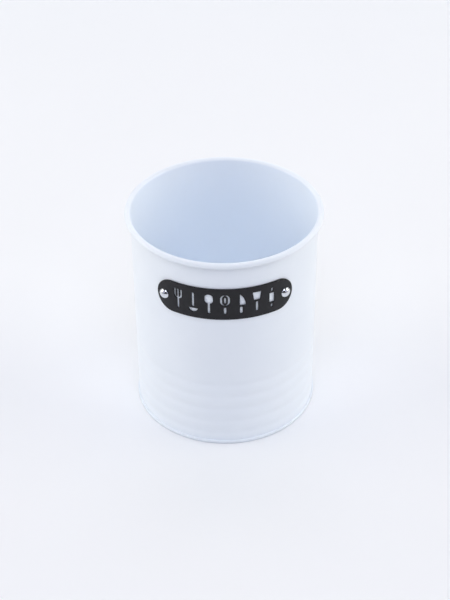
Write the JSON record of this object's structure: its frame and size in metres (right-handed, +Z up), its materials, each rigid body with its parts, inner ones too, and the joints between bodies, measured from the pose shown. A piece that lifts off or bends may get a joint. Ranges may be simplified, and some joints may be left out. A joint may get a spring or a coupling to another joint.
{
  "type": "utensil holder cup",
  "caption": "Open round sheet-metal cup for pens or utensils, with a rolled rim, beaded wall, seamed base and a riveted stencil-cut label plate.",
  "frame": {"origin": "centre of the foot, on the surface that the cup stands on", "axes": "+Z up along the cup's axis, label plate facing -Y, +X to the right of someone reading the label"},
  "size_m": [0.1294, 0.1294, 0.15],
  "materials": {
    "white_coat": "cool white powder coat, satin",
    "black_coat": "fine-textured black powder coat, satin",
    "rivet_metal": "as-formed aluminium, semi-bright"
  },
  "bodies": {
    "root": {"body_shell": "white_coat", "base_panel": "white_coat", "label_plate": "black_coat", "rivet_left": "rivet_metal", "rivet_right": "rivet_metal"}
  },
  "joints": []
}
